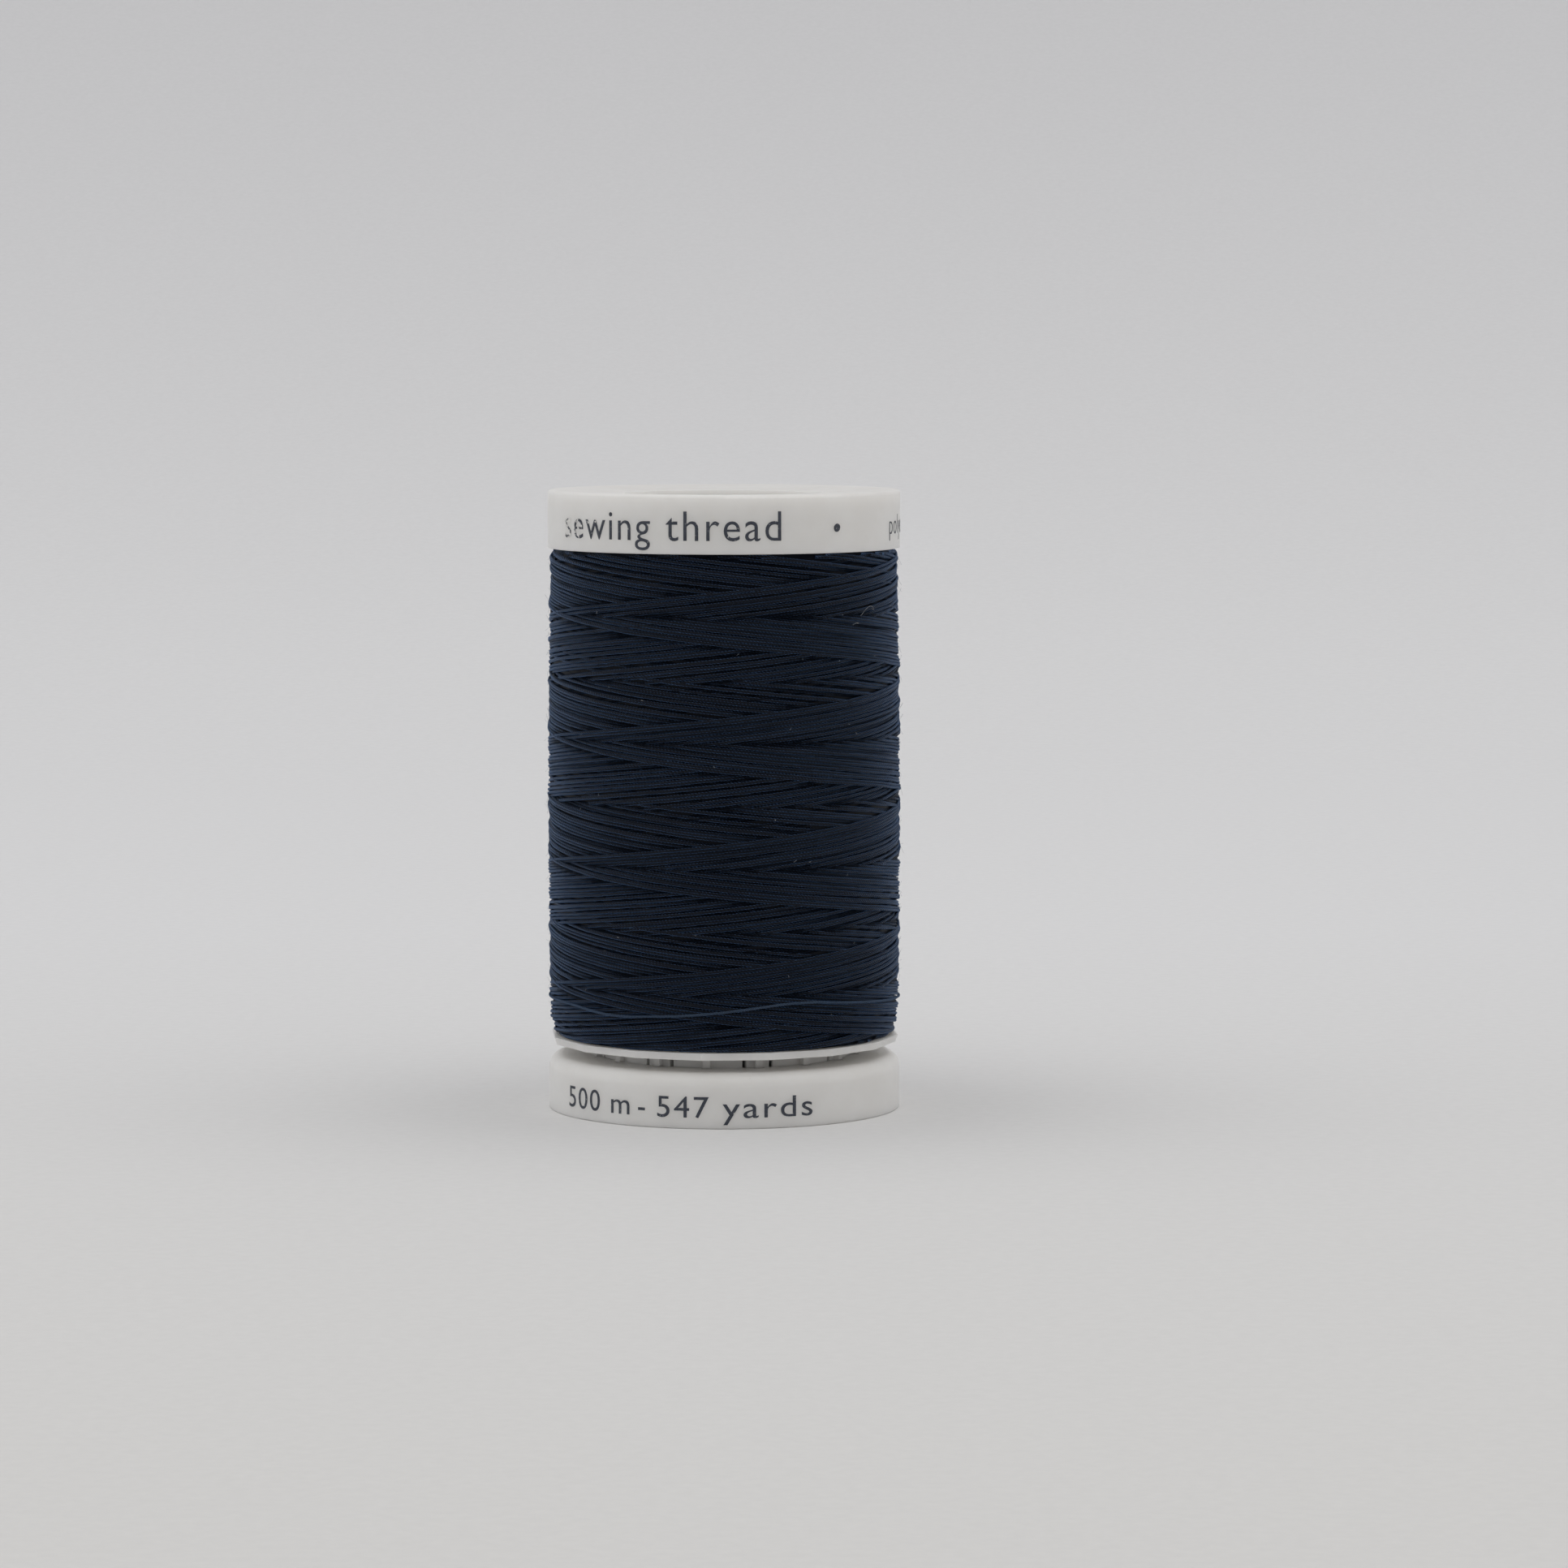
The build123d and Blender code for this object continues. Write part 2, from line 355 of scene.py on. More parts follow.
def pressed(rise):
    """What stays of a rise above the surface nearby once the package is wound tight. A fall stays whole."""
    return np.where(rise > 0, PROUD_MOST * np.tanh(PROUD_KEPT * rise / PROUD_MOST), rise)


def wind_package():
    """Winds two covers on a bed corrected until the package has its own outline, then settles them.

    Returns the height map, the number of the stroke on top, and each path with its height and its own rise.
    """
    draws = stroke_draws()
    goal = target_radius(row_z) - OUTLINE_PROUD - BED_RADIUS
    bed = goal - COVERS_DEPTH
    for _ in range(3):
        height, owner, paths = lay_strands(bed, draws)
        bed = bed - smoothed(height.mean(axis=0) - goal, BED_SPAN / ROW)
    humps = LEVELLED * local_mean(height - goal[None, :], *HUMP_SPAN)
    height = height - humps
    nearby = local_mean(height, *NEARBY_SPAN)
    settled = []
    for angle, columns, centre, z, level in paths:
        top = level + STRAND_HALF_DEPTH - humps[columns, centre]
        near = nearby[columns, centre]
        level = smoothed(near + pressed(top - near) - STRAND_HALF_DEPTH, LEVEL_EASE / COLUMN_STEP)
        # The strand's own rise above its neighbours, smoothed, sets its painted shade
        settled.append((angle, columns, centre, z, level, smoothed(top - near, SHADE_TONE_EASE / COLUMN_STEP)))
    return nearby + pressed(height - nearby), owner, settled


def around(angle, radius, z):
    """Points at an angle from +X, a radius and a height."""
    turn = np.radians(angle)
    return np.stack([np.cos(turn) * radius, np.sin(turn) * radius, z], axis=-1)


def outward_at(angle):
    turn = np.radians(angle)
    return np.stack([np.cos(turn), np.sin(turn), np.zeros_like(turn)], axis=-1)


def strands_that_show(owner, paths):
    """Tubes along the stretches of the strokes that show, with rising and falling strokes kept apart."""
    builders = {"rising": TubeBuilder(STRAND_SIDES), "falling": TubeBuilder(STRAND_SIDES)}
    for number, (angle, columns, centre, z, level, rise) in enumerate(paths):
        index = centre[:, None] + section_rows[None, :]
        shown = (owner[columns[:, None], index] == number).any(axis=1)
        shown = smoothed(shown.astype(float), SHOWN_MARGIN) > 0
        edges = np.flatnonzero(np.diff(np.concatenate([[0], shown.astype(int), [0]])))
        for first, last in zip(edges[::2], edges[1::2]):
            if last - first < 3 * SEGMENT:
                continue
            pick = np.arange(first, last, SEGMENT)
            builders["falling" if number % 2 else "rising"].add(
                around(angle[pick], BED_RADIUS + level[pick], z[pick]),
                outward_at(angle[pick]),
                STRAND_HALF_WIDTH,
                STRAND_HALF_DEPTH,
                start_length=number * PLY_SHIFT + first * COLUMN_STEP,
                # Painted shade and light: strands lower than those nearby get darker tones, higher ones
                # lighter
                tone=np.round(np.interp(rise[pick], (-RISE_SHADED, RISE_SHADED), (0, SHADE_TONES))),
            )
    return builders


height_map, owner_map, stroke_paths = wind_package()


# ---------------------------------------------------------------------------------------------
# Materials
# ---------------------------------------------------------------------------------------------
class Nodes:
    """A short way to write a node tree."""

    def __init__(self, tree):
        self.tree = tree

    def put(self, kind, _out=0, **inputs):
        """Adds a node. Keys that name a property set it, the others set or link an input."""
        node = self.tree.nodes.new(kind)
        for key, value in inputs.items():
            if key.startswith("p_"):
                setattr(node, key[2:], value)
        for key, value in inputs.items():
            if key.startswith("p_"):
                continue
            socket = node.inputs[int(key[1:])] if key[0] == "i" and key[1:].isdigit() else node.inputs[key]
            if isinstance(value, bpy.types.NodeSocket):
                self.tree.links.new(value, socket)
            else:
                socket.default_value = value
        return node.outputs[_out] if node.outputs else node

    def object_place(self):
        """Where a point is on its object, in metres."""
        return self.put("ShaderNodeTexCoord", 3)

    def parts(self, vector):
        """The three numbers of a vector."""
        split = self.tree.nodes.new("ShaderNodeSeparateXYZ")
        self.tree.links.new(vector, split.inputs[0])
        return split.outputs

    def uv_map(self):
        return self.put("ShaderNodeUVMap", p_uv_map="UVMap")

    def maths(self, operation, a, b=0.0, c=0.0):
        return self.put("ShaderNodeMath", p_operation=operation, i0=a, i1=b, i2=c)

    def noise(self, vector, scale, detail=3.0, roughness=0.55):
        return self.put("ShaderNodeTexNoise", Vector=vector, Scale=scale, Detail=detail, Roughness=roughness)

    def ranged(self, value, low, high, to_low, to_high):
        return self.put(
            "ShaderNodeMapRange", i0=value, i1=float(low), i2=float(high), i3=float(to_low), i4=float(to_high)
        )

    def scaled(self, vector, factor):
        return self.put("ShaderNodeVectorMath", p_operation="SCALE", i0=vector, i3=factor)

    def blend(self, factor, a, b):
        node = self.tree.nodes.new("ShaderNodeMix")
        node.data_type = "RGBA"
        for socket, value in zip((node.inputs[0], node.inputs[6], node.inputs[7]), (factor, a, b)):
            if isinstance(value, bpy.types.NodeSocket):
                self.tree.links.new(value, socket)
            else:
                socket.default_value = value
        return node.outputs[2]

    def bump(self, height, distance, strength=1.0, normal=None):
        node = self.tree.nodes.new("ShaderNodeBump")
        node.inputs["Strength"].default_value = strength
        node.inputs["Distance"].default_value = distance
        self.tree.links.new(height, node.inputs["Height"])
        if normal is not None:
            self.tree.links.new(normal, node.inputs["Normal"])
        return node.outputs[0]


def new_material(name):
    """A material, its nodes and its Principled node."""
    material = bpy.data.materials.new(name)
    material.use_nodes = True
    return material, Nodes(material.node_tree), material.node_tree.nodes["Principled BSDF"]


def rgb(red, green, blue):
    return (red, green, blue, 1.0)


PLASTIC_DARKER, PLASTIC_LIGHTER = rgb(0.81, 0.793, 0.765), rgb(0.845, 0.832, 0.808)


def white_plastic():
    """Moulded white polymer: satin, a little translucent, faintly clouded, with a fine grain and specks."""
    material, n, shader = new_material("moulded_white_plastic")
    place = n.object_place()
    cloud = n.noise(place, 260.0, 4.0)
    speck = n.noise(place, 5200.0, 2.0)
    tint = n.blend(n.ranged(cloud, 0.35, 0.7, 0, 1), PLASTIC_DARKER, PLASTIC_LIGHTER)
    dirt = n.ranged(speck, 0.73, 0.8, 0, 0.35)
    tint = n.blend(dirt, tint, rgb(0.55, 0.52, 0.5))
    n.tree.links.new(tint, shader.inputs["Base Color"])
    n.tree.links.new(n.ranged(n.noise(place, 900.0, 5.0), 0.3, 0.7, 0.34, 0.5), shader.inputs["Roughness"])
    grain = n.noise(place, 9000.0, 3.0)
    swell = n.noise(place, 420.0, 2.0)
    normal = n.bump(grain, 0.000004, 0.6)
    normal = n.bump(swell, 0.00003, 0.12, normal)
    n.tree.links.new(normal, shader.inputs["Normal"])
    shader.inputs["IOR"].default_value = 1.48
    shader.inputs["Subsurface Weight"].default_value = 0.65
    shader.inputs["Subsurface Radius"].default_value = (1.0, 0.97, 0.93)
    shader.inputs["Subsurface Scale"].default_value = 0.0026
    return material


SPECULAR = 0.10
SHEEN = 0.6
LEAST_LIT, MOST_LIT = 0.34, 1.4


def thread_material(name, dark, light, plies_from_uv=True):
    """Navy three-ply polyester.

    U is mm along the strand. V is its painted shade level, a whole number, plus the share of the way round
    it.
    """
    material, n, shader = new_material(name)
    along, side, _ = n.parts(n.uv_map())
    tone = n.maths("FLOOR", side)
    phase = n.maths("ADD", n.maths("MULTIPLY", along, 1 / PLY_PITCH), n.maths("FRACT", side))
    ply = n.maths("ABSOLUTE", n.maths("SINE", n.maths("MULTIPLY", phase, 3 * math.pi)))
    fibre_u, fibre_v = n.maths("MULTIPLY", along, 2.2), n.maths("MULTIPLY", phase, 26.0)
    fibres = n.noise(n.put("ShaderNodeCombineXYZ", i0=fibre_u, i1=fibre_v), 1.0, 2.0)
    slow = n.noise(n.put("ShaderNodeCombineXYZ", i0=n.maths("MULTIPLY", along, 0.11)), 1.0, 2.0)
    shade = n.blend(n.ranged(slow, 0.3, 0.7, 0, 1), dark, light)
    shader.inputs["Specular IOR Level"].default_value = SPECULAR
    shader.inputs["Sheen Weight"].default_value = SHEEN
    if plies_from_uv:
        # Painted shade: the grooves between the plies are darkened in the colour
        groove_shade = n.ranged(ply, 0.0, 0.8, 0.85, 0.0)
        shade = n.blend(groove_shade, shade, rgb(dark[0] * 0.15, dark[1] * 0.15, dark[2] * 0.2))
        fleck = n.ranged(fibres, 0.58, 0.76, 0, 0.4)
        shade = n.blend(fleck, shade, rgb(light[0] * 2.8, light[1] * 2.8, light[2] * 2.8))
        # Painted shade and light: the base colour, specular and sheen are scaled by the strand's shade level,
        # darker where it lies low and lighter where it stands proud
        shade = n.scaled(shade, n.ranged(tone, 0, SHADE_TONES, 0.6, 1.2))
        lit = n.ranged(tone, 0, SHADE_TONES, LEAST_LIT, MOST_LIT)
        n.tree.links.new(n.maths("MULTIPLY", lit, SPECULAR), shader.inputs["Specular IOR Level"])
        n.tree.links.new(n.maths("MULTIPLY", lit, SHEEN), shader.inputs["Sheen Weight"])
        height = n.maths("ADD", n.maths("POWER", ply, 0.6), n.maths("MULTIPLY", fibres, 0.25))
        n.tree.links.new(n.bump(height, 0.00005, 1.0), shader.inputs["Normal"])
    n.tree.links.new(shade, shader.inputs["Base Color"])
    n.tree.links.new(n.ranged(fibres, 0.3, 0.7, 0.36, 0.55), shader.inputs["Roughness"])
    shader.inputs["Sheen Roughness"].default_value = 0.25
    shader.inputs["Sheen Tint"].default_value = rgb(0.25, 0.48, 0.95)
    return material


def ink_material(name, worn_until):
    """Dark, slightly pitted ink, rubbed off in patches up to worn_until mm. UV is mm along and up a print."""
    material, n, shader = new_material(name)
    uv = n.uv_map()
    patch = n.noise(uv, 1.5, 4.0, 0.6)
    pits = n.noise(uv, 5.0, 3.0)
    wear = n.ranged(n.parts(uv)[0], worn_until - 3.0, worn_until + 2.2, 0.14, -0.1)
    gone = n.ranged(n.maths("ADD", patch, wear), 0.57, 0.62, 0, 1)
    gone = n.maths("MAXIMUM", gone, n.ranged(pits, 0.66, 0.72, 0, 0.8))
    ink = n.blend(n.ranged(pits, 0.3, 0.7, 0, 1), rgb(0.022, 0.027, 0.042), rgb(0.05, 0.058, 0.078))
    n.tree.links.new(n.blend(gone, ink, PLASTIC_DARKER), shader.inputs["Base Color"])
    n.tree.links.new(n.ranged(patch, 0.3, 0.7, 0.5, 0.62), shader.inputs["Roughness"])
    n.tree.links.new(n.bump(pits, 0.000004, 0.5), shader.inputs["Normal"])
    return material


plastic = white_plastic()
navy = thread_material("navy_thread", rgb(0.0024, 0.0042, 0.0085), rgb(0.0048, 0.0076, 0.0145))
# Painted light: the free end is the same navy thread, coloured many times lighter for the light it catches
# lying proud of the winding
navy_loose_lit = thread_material("navy_thread_loose_lit", rgb(0.05, 0.075, 0.115), rgb(0.07, 0.1, 0.15))
# Painted shade: the inner layers are the same navy thread, coloured darker than the strands for the shade
# deep in the winding
navy_bulk_shaded = thread_material("navy_thread_bulk_shaded", rgb(0.002, 0.003, 0.006), rgb(0.003, 0.0045, 0.009), False)
for cad_name in ("winding_core", "top_cap", "base_cap"):
    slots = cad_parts[cad_name].data.materials
    slots.clear()
    slots.append(plastic)


def finish_piece(piece, material, body):
    """Gives a piece its material and the body that it rides on."""
    piece.data.materials.clear()
    piece.data.materials.append(material)
    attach(piece, body)
    return piece


# ---------------------------------------------------------------------------------------------
# Thread pieces
# ---------------------------------------------------------------------------------------------
for direction, strand_builder in strands_that_show(owner_map, stroke_paths).items():
    wound = strand_builder.build(f"thread_{direction}_strands")
    finish_piece(wound, navy, "spool")
    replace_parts(wound, "thread_package")


def thread_bulk():
    """The wound layers under the ones that show: a closed ring that follows them from just below."""
    spans, sides = 150, 360
    below, deepest = 0.02, 0.28
    end_gap, inner_radius = 0.01, 9.03  # clear of the core's plate, flange and tube
    band = rows // spans
    blocks = height_map[:, : spans * band].reshape(sides, COLUMNS // sides, spans, band).min(axis=(1, 3))
    for _ in range(2):
        blocks = np.minimum(blocks, np.minimum(np.roll(blocks, 1, axis=0), np.roll(blocks, -1, axis=0)))
    edged = np.pad(blocks, ((0, 0), (1, 1)), mode="edge")
    blocks = np.minimum(blocks, np.minimum(edged[:, :-2], edged[:, 2:]))
    z = row_z[np.arange(spans) * band + band // 2]
    outside = np.maximum(BED_RADIUS + blocks - below, target_radius(z) - OUTLINE_PROUD - deepest)
    inner = np.full((sides, 1), inner_radius)
    radius = np.concatenate([inner, outside[:, :1], outside, outside[:, -1:], inner], axis=1)
    level = np.concatenate([[package_low + end_gap] * 2, z, [package_high - end_gap] * 2])
    angle = np.arange(sides) * 360 / sides
    points = around(angle[:, None], radius, np.broadcast_to(level, radius.shape))
    index = np.arange(radius.size).reshape(radius.shape)
    beside, above = np.roll(index, -1, axis=0), np.roll(index, -1, axis=1)
    quads = np.stack([index, beside, np.roll(beside, -1, axis=1), above], axis=-1).reshape(-1, 4)
    flat = points.reshape(-1, 3)
    uv = np.stack([flat[quads.ravel(), 2], flat[quads.ravel(), 0]], axis=-1)
    return new_object("thread_inner_layers", quads_mesh("thread_inner_layers", flat, quads, uv))


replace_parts(finish_piece(thread_bulk(), navy_bulk_shaded, "spool"), "thread_package")


def surface_height(angle, z):
    """Top of the strands at an angle and a height, over a strand's width."""
    column = int(round(angle / 360 * COLUMNS)) % COLUMNS
    row = int(np.clip((z - package_low) / ROW, half_rows, rows - 1 - half_rows))
    return BED_RADIUS + height_map[column, row - half_rows : row + half_rows + 1].max()


PLY_RADIUS = 0.062  # of each of the three plies, and of the helix that its centre follows
PLY_FLATTENED = 1.1
# The last wrap's degrees round the package, and mm up the spool. It wanders as it crosses the front.
WRAP_KNOTS = np.array(
    [
        (-250, 9.9), (-200, 10.2), (-152, 10.4), (-127, 9.7), (-97, 10.2), (-85, 10.6),
        (-65, 11.25), (-40, 10.7), (-12, 10.2), (40, 9.9), (65, 9.3), (84, 8.2),
    ]
)
WRAP_PROUD = 0.055
# Its drop over the locking flange's edge: degrees again, mm from the axis, and mm up the spool
DROP_KNOTS = np.array([(87.0, 15.98, 7.6), (90.0, 15.93, 7.1), (93.0, 15.87, 6.6), (95.0, 15.84, 6.1)])


def plied_strand(name, angle, radius, z):
    """A strand of three twisted plies along a path that follows the package."""
    fine = np.linspace(0, len(angle) - 1, len(angle) * 6)
    at = np.arange(len(angle))
    angle, radius, z = (np.interp(fine, at, values) for values in (angle, radius, z))
    centres = around(angle, radius, z)
    outward = outward_at(angle)
    along = np.gradient(centres, axis=0)
    along /= np.linalg.norm(along, axis=1, keepdims=True)
    across = np.cross(along, outward)
    across /= np.linalg.norm(across, axis=1, keepdims=True)
    up = np.cross(across, along)
    length = np.concatenate([[0], np.cumsum(np.linalg.norm(np.diff(centres, axis=0), axis=1))])
    builder = TubeBuilder(6)
    for ply in range(3):
        turn = 2 * math.pi * (ply / 3 + length / PLY_PITCH)
        offset = up * np.cos(turn)[:, None] + across * np.sin(turn)[:, None]
        builder.add(centres + offset * PLY_RADIUS, offset, PLY_RADIUS * PLY_FLATTENED, PLY_RADIUS)
    return builder.build(name)


def free_end():
    """The thread's free end: the last wrap, lying on the strands below it, then the drop.

    The wrap has a sample to a degree, so it's smoothed over that many degrees.
    """
    angle = np.arange(WRAP_KNOTS[0, 0], WRAP_KNOTS[-1, 0] + 0.1, 1.0)
    z = smoothed(np.interp(angle, WRAP_KNOTS[:, 0], WRAP_KNOTS[:, 1]), 17)
    support = np.array([surface_height(a, level) for a, level in zip(angle, z)]) - BED_RADIUS
    radius = BED_RADIUS + smoothed(np.maximum(support, smoothed(support, 9)), 5) + WRAP_PROUD
    path = np.concatenate([np.stack([angle, radius, z], axis=-1), DROP_KNOTS])
    return plied_strand("thread_free_end", *path.T)


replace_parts(finish_piece(free_end(), navy_loose_lit, "spool"), "thread_end")


def fuzz(count, seed):
    """Fine bowed fibres that stand off the strands."""
    draw = np.random.default_rng(seed)
    builder = TubeBuilder(4)
    share = np.linspace(0, 1, 5)
    radius, root_depth, end_gap = 0.006, 0.04, 0.1
    for _ in range(count):
        angle = draw.uniform(0, 360)
        z = draw.uniform(package_low + 0.6, package_high - 0.4)
        reach = draw.uniform(0.25, 0.8)
        bearing = draw.uniform(0, 2 * math.pi)
        bow = draw.normal(0, 0.35)
        side = share * reach * math.cos(bearing) + bow * reach * share * (1 - share)
        rise = share * reach * math.sin(bearing) + bow * reach * share * (1 - share)
        root = surface_height(angle, z) - root_depth
        a = angle + np.degrees(side / root)
        out = root + share * draw.uniform(0.15, 0.6) * reach
        level = np.clip(z + rise, package_low + end_gap, package_high - end_gap)
        builder.add(around(a, out, level), outward_at(a), radius, radius)
    return builder.build("thread_fuzz")


finish_piece(fuzz(count=1500, seed=31), navy, "spool")


def lint_material():
    """Pale dust fibres, brighter along some stretches than others."""
    material, n, shader = new_material("pale_lint")
    place = n.object_place()
    tone = n.ranged(n.noise(place, 3000.0, 2.0), 0.35, 0.65, 0, 1)
    n.tree.links.new(n.blend(tone, rgb(0.17, 0.19, 0.22), rgb(0.5, 0.51, 0.52)), shader.inputs["Base Color"])
    shader.inputs["Roughness"].default_value = 0.6
    shader.inputs["Sheen Weight"].default_value = 0.3
    return material


def lint(count, seed):
    """Two long curled dust fibres to the right of the front, and specks all over the thread."""
    draw = np.random.default_rng(seed)
    builder = TubeBuilder(4)
    share = np.linspace(0, 1, 24)
    radius, lift = 0.017, 0.035
    for start, down, sweep, rise, bow in ((-39.2, 5.7, 7.2, 1.0, 0.45), (-43.0, 6.5, 2.4, 0.25, 0.1)):
        angle = start + sweep * np.sin(share * 2.1)
        level = package_high - down + rise * share + bow * np.sin(share * 5.0)
        top = np.array([surface_height(a, h) for a, h in zip(angle, level)])
        builder.add(around(angle, smoothed(top, 7) + lift, level), outward_at(angle), radius, radius)
    for _ in range(count):
        angle, z = draw.uniform(0, 360), draw.uniform(package_low + 1, package_high - 1)
        reach, bearing = draw.uniform(0.05, 0.16), draw.uniform(0, 2 * math.pi)
        step = np.linspace(-1, 1, 4)
        a = angle + np.degrees(step * reach * math.cos(bearing) / package_radius)
        level = z + step * reach * math.sin(bearing)
        out = surface_height(angle, z) + 0.01 - 0.02 * step**2
        builder.add(around(a, out, level), outward_at(a), 0.014, 0.010)
    return builder.build("lint_fibres")


finish_piece(lint(count=70, seed=7), lint_material(), "spool")


# ---------------------------------------------------------------------------------------------
# Print
# ---------------------------------------------------------------------------------------------
FILM_HALF = 0.012  # the film reaches this far out of the plastic, and as far into it
BEND_STEP = 0.35  # mm between the cuts along which a film bends
CAPITALS = 0.729  # height of the built-in font's capitals at size 1
LETTER_SPACING = 1.12
FRONT = -90.0
ARC = math.pi / 180 * cap_radius  # mm to a degree round the spool


def film_from(mesh, name, start_angle, base_z):
    """Bends flat print round a cap as a thin closed film. UV keeps mm along and up the print."""
    work = bmesh.new()
    work.from_mesh(mesh)
    bpy.data.meshes.remove(mesh)
    bmesh.ops.remove_doubles(work, verts=work.verts, dist=0.0005)
    reach = max((v.co.x for v in work.verts), default=0)
    for i in range(int(reach / BEND_STEP) + 1):
        geom = work.verts[:] + work.edges[:] + work.faces[:]
        cut = (i * BEND_STEP + 0.01, 0, 0)
        bmesh.ops.bisect_plane(work, geom=geom, plane_co=cut, plane_no=(1, 0, 0))
    bmesh.ops.triangulate(work, faces=[f for f in work.faces if len(f.verts) > 4])
    for face in work.faces:
        if face.normal.z < 0:
            face.normal_flip()
    made = bmesh.ops.extrude_face_region(work, geom=work.faces[:], use_keep_orig=True)
    outside = {v for v in made["geom"] if isinstance(v, bmesh.types.BMVert)}
    for old_layer in list(work.loops.layers.uv.values()):
        work.loops.layers.uv.remove(old_layer)
    layer = work.loops.layers.uv.new("UVMap")
    for face in work.faces:
        for loop in face.loops:
            loop[layer].uv = (loop.vert.co.x, loop.vert.co.y)
    for v in work.verts:
        turn = math.radians(start_angle) + v.co.x / cap_radius
        r = cap_radius + (FILM_HALF if v in outside else -FILM_HALF)
        v.co = Vector((math.cos(turn) * r, math.sin(turn) * r, base_z + v.co.y)) * MM
    bmesh.ops.recalc_face_normals(work, faces=work.faces)
    out = bpy.data.meshes.new(name)
    work.to_mesh(out)
    work.free()
    return new_object(name, out)


def flat_text(words, height, weight=0.0):
    """Words as one flat mesh, with the baseline on y = 0, each fitted between its own two degrees.

    height is that of the capitals, and weight thickens the letters' strokes, or thins them if it's negative.
    """
    work = bmesh.new()
    for body, start, end in words:
        curve = bpy.data.curves.new("print_line", "FONT")
        curve.body = body
        curve.size = height / CAPITALS
        curve.offset = weight
        curve.space_character = LETTER_SPACING
        curve.resolution_u = 5
        line = bpy.data.objects.new("print_line", curve)
        bpy.context.scene.collection.objects.link(line)
        bpy.context.view_layer.update()
        mesh = bpy.data.meshes.new_from_object(line.evaluated_get(bpy.context.evaluated_depsgraph_get()))
        bpy.data.objects.remove(line)
        bpy.data.curves.remove(curve)
        left = min(v.co.x for v in mesh.vertices)
        right = max(v.co.x for v in mesh.vertices)
        stretch = (end * ARC - start * ARC) / (right - left)
        for v in mesh.vertices:
            v.co.x = start * ARC + (v.co.x - left) * stretch
        work.from_mesh(mesh)
        bpy.data.meshes.remove(mesh)
    flat = bpy.data.meshes.new("print_flat")
    work.to_mesh(flat)
    work.free()
    return flat


def dot_mesh(radius):
    """A printed dot, very slightly out of round."""
    sides = 28
    turn = np.arange(sides) * 2 * math.pi / sides
    size = radius * (1 + 0.05 * np.sin(2 * turn + 0.7) + 0.02 * np.sin(5 * turn))
    points = np.stack([radius + np.cos(turn) * size, np.sin(turn) * size * 1.08, 0 * turn], axis=-1)
    mesh = bpy.data.meshes.new("dot")
    mesh.from_pydata(points.tolist(), [], [list(range(sides))])
    return mesh


# Words, each with the degrees from the print's start at which it begins and ends
TOP_WORDS = [("sewing thread", 0.0, 81.0)]
FIBRE_WORDS = [("polyester", 0.0, 34.0)]
LENGTH_WORDS = [
    ("500", 0.0, 16.7),
    ("m", 21.6, 28.9),
    ("-", 32.1, 34.6),
    ("547", 38.9, 55.9),
    ("yards", 60.3, 90.3),
]
worn_ink = ink_material("worn_ink", 3.6)
printing_ink = ink_material("printing_ink", -9.0)  # before its start, so hardly worn
# Name, flat print, degrees from the front to its start, mm up the cap to its baseline or middle, and ink
top_prints = [
    ("top_print_words", flat_text(TOP_WORDS, 2.8, -0.012), -62.0, 1.2, worn_ink),
    ("top_print_dot", dot_mesh(0.35), 38.2, 2.25, printing_ink),
    ("top_print_fibre", flat_text(FIBRE_WORDS, 1.9, -0.03), 69.0, 1.4, printing_ink),
    ("top_print_dot_rear", dot_mesh(0.35), 137.0, 2.25, printing_ink),
    ("top_print_words_rear", flat_text(TOP_WORDS, 2.8, -0.012), 163.0, 1.2, printing_ink),
]
base_prints = [("base_print_length", flat_text(LENGTH_WORDS, 2.0), -60.3, 1.02, printing_ink)]
for body, band_low, prints in (("spool", top_band_low, top_prints), ("base", base_band_low, base_prints)):
    for name, flat, start, up, ink in prints:
        finish_piece(film_from(flat, name, FRONT + start, band_low + up), ink, body)


# ---------------------------------------------------------------------------------------------
# Floor, light and camera
# ---------------------------------------------------------------------------------------------
# Painted shade: the paper is coloured darker towards the camera and far behind the spool, in place of the
# light falling off there
PAPER_NEAR_SHADED = (0.725, 0.72, 0.71)
PAPER_MIDDLE = (0.785, 0.787, 0.797)
PAPER_FAR_SHADED = (0.66, 0.66, 0.68)


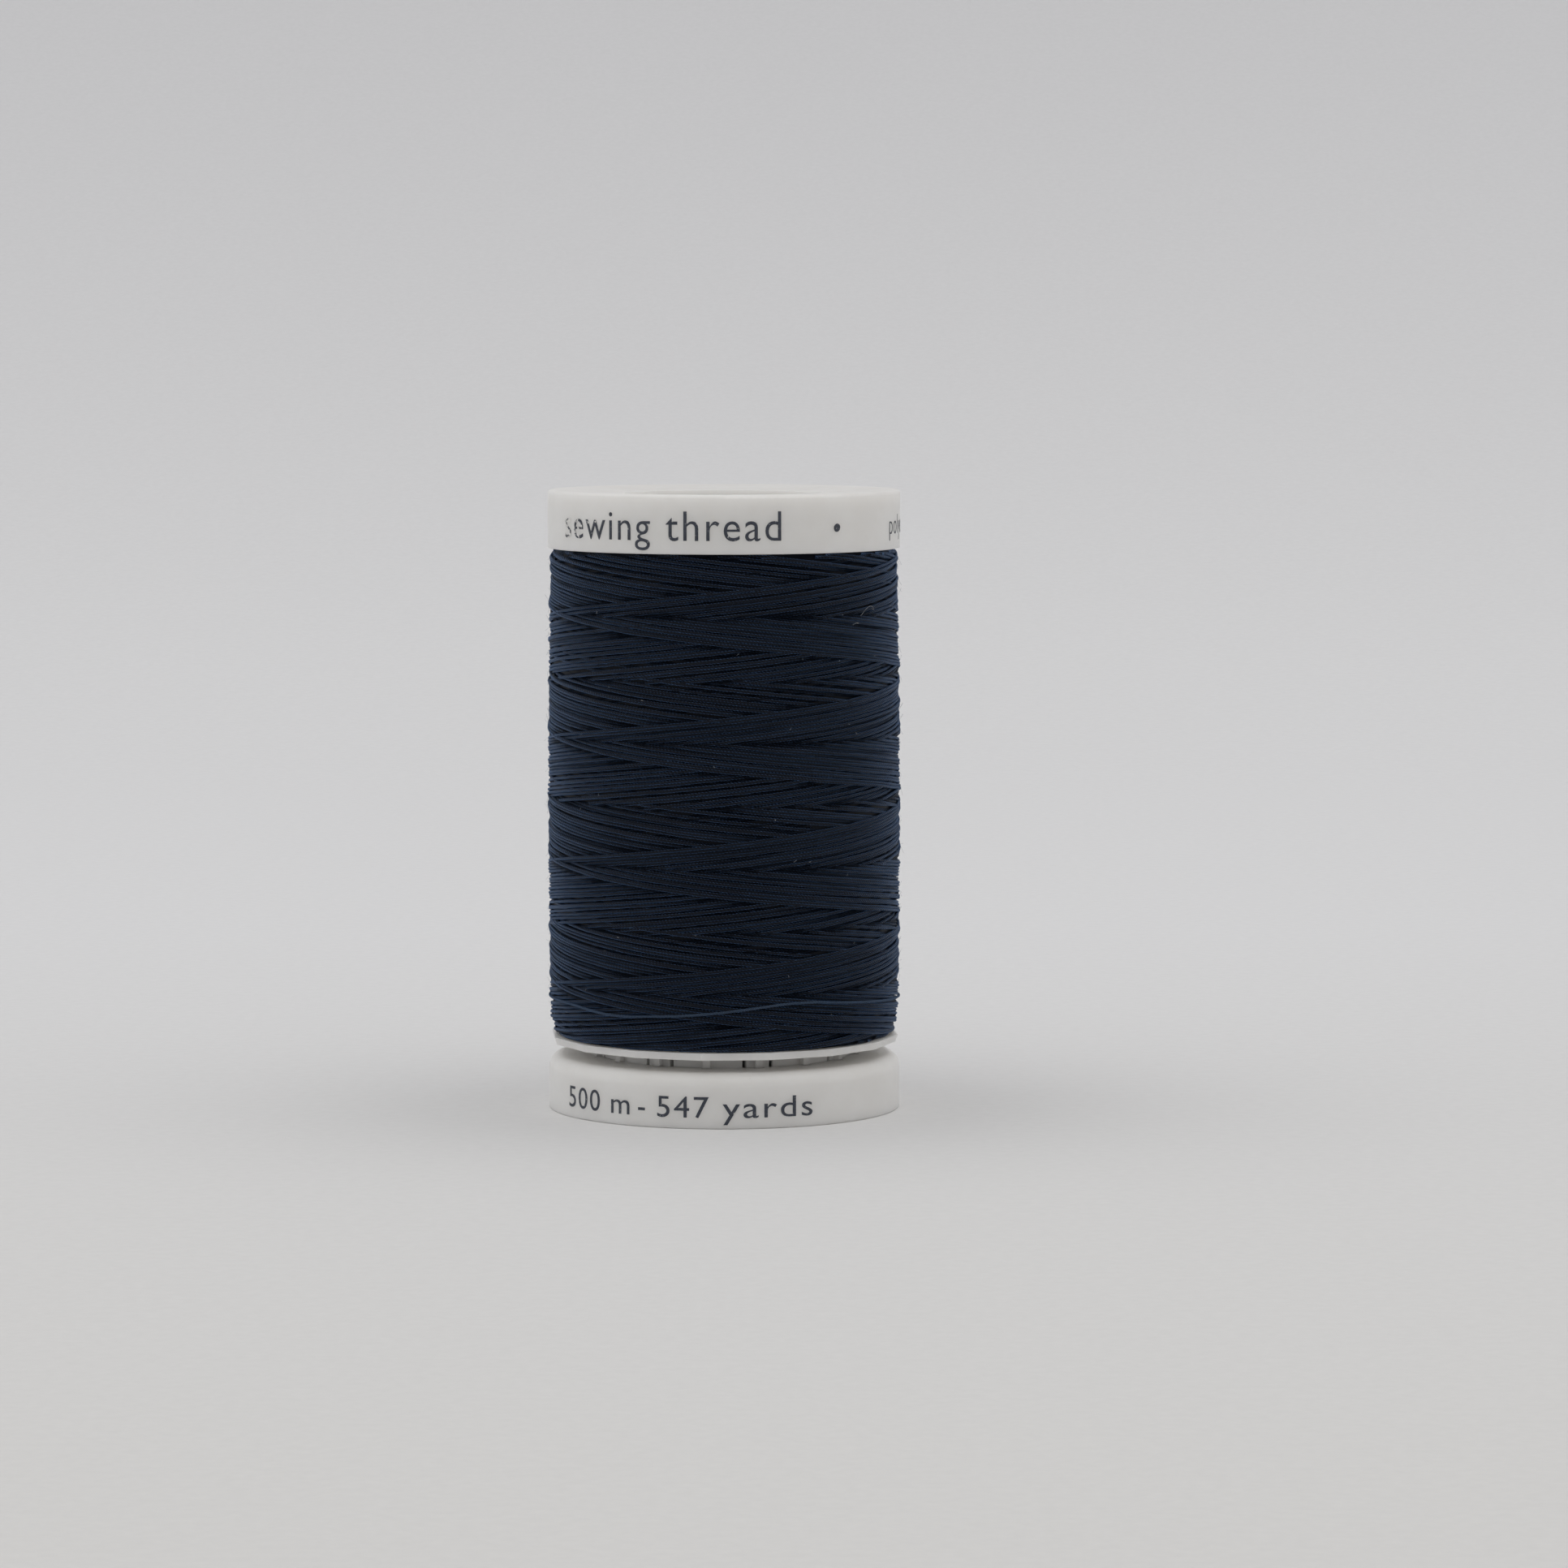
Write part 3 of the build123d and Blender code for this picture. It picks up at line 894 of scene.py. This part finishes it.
def floor():
    """A pale paper sweep: flat under the spool, curving up far behind it, then upright."""
    near, far, wide, cove, upright = -3.0, 0.35, 4.0, 1.1, 1.0
    turn = np.radians(np.linspace(0, 90, 46))
    flat_run = np.concatenate([np.linspace(near, -0.2, 8), np.linspace(-0.15, far, 12)[:-1]])
    run = np.concatenate([flat_run, far + cove * np.sin(turn), [far + cove]])
    rise = np.concatenate([0 * flat_run, cove * (1 - np.cos(turn)), [cove + upright]])
    left, right = np.linspace(-wide, -0.3, 10), np.linspace(0.3, wide, 10)
    across = np.concatenate([left, np.linspace(-0.2, 0.2, 9), right])
    points = [(x, y, z) for y, z in zip(run, rise) for x in across]
    count = len(across)
    faces = [
        (i * count + j, i * count + j + 1, (i + 1) * count + j + 1, (i + 1) * count + j)
        for i in range(len(run) - 1)
        for j in range(count - 1)
    ]
    mesh = bpy.data.meshes.new("paper_sweep")
    mesh.from_pydata(points, [], faces)
    mesh.shade_smooth()
    material, n, shader = new_material("pale_paper")
    place = n.object_place()
    run_back = n.parts(place)[1]
    # Painted shade: darker paper towards the camera and up the far cove
    paper = n.blend(n.ranged(run_back, -0.20, 0.15, 0, 1), rgb(*PAPER_NEAR_SHADED), rgb(*PAPER_MIDDLE))
    paper = n.blend(n.ranged(run_back, 0.5, 1.3, 0, 1), paper, rgb(*PAPER_FAR_SHADED))
    grain = n.ranged(n.noise(place, 900.0, 3.0), 0.3, 0.7, 0.985, 1.015)
    n.tree.links.new(n.scaled(paper, grain), shader.inputs["Base Color"])
    shader.inputs["Roughness"].default_value = 0.9
    shader.inputs["Specular IOR Level"].default_value = 0.1
    mesh.materials.append(material)
    new_object("paper_sweep", mesh)


def studio_world():
    """Soft light from all round: strongest from above, then the sides, and weakest from the camera's side."""
    world = bpy.data.worlds.new("soft_studio")
    bpy.context.scene.world = world
    world.use_nodes = True
    world.node_tree.nodes.clear()
    n = Nodes(world.node_tree)
    x, y, z = n.parts(n.put("ShaderNodeTexCoord"))
    left = n.ranged(x, -0.1, -0.9, 0, 1)
    right = n.ranged(x, 0.1, 0.9, 0, 1)
    middle = n.ranged(z, 0.25, 0.5, 0, 1)
    up = n.ranged(z, 0.55, 0.9, 0, 1)
    back = n.ranged(y, -0.5, 0.6, 0, 1)
    tone = n.blend(back, rgb(0.165, 0.162, 0.16), rgb(0.60, 0.605, 0.62))
    tone = n.blend(left, tone, rgb(1.08, 1.09, 1.10))
    tone = n.blend(right, tone, rgb(0.86, 0.85, 0.84))
    tone = n.blend(middle, tone, n.blend(back, rgb(0.315, 0.31, 0.305), rgb(0.60, 0.60, 0.61)))
    tone = n.blend(up, tone, rgb(1.32, 1.31, 1.30))
    background = n.put("ShaderNodeBackground", Color=tone, Strength=1.0)
    n.put("ShaderNodeOutputWorld", Surface=background)


floor()
studio_world()

CAMERA_PLACE = (0.00546, -0.5311, 0.0735)
CAMERA_DIP = 4.736  # degrees below level
LENS = 134.15  # mm, on a sensor 36 mm wide


def place_camera():
    """A long lens in front of the spool, a little above its top and to the right of its middle."""
    lens = bpy.data.cameras.new("camera")
    lens.sensor_width = 36.0
    lens.lens = LENS
    lens.clip_start, lens.clip_end = 0.02, 50.0
    camera = new_object("camera", lens)
    camera.location = CAMERA_PLACE
    camera.rotation_euler = (math.radians(90.0 - CAMERA_DIP), 0.0, 0.0)
    bpy.context.scene.camera = camera


place_camera()
bpy.context.scene.view_settings.view_transform = "Standard"
bpy.context.scene.view_settings.look = "None"
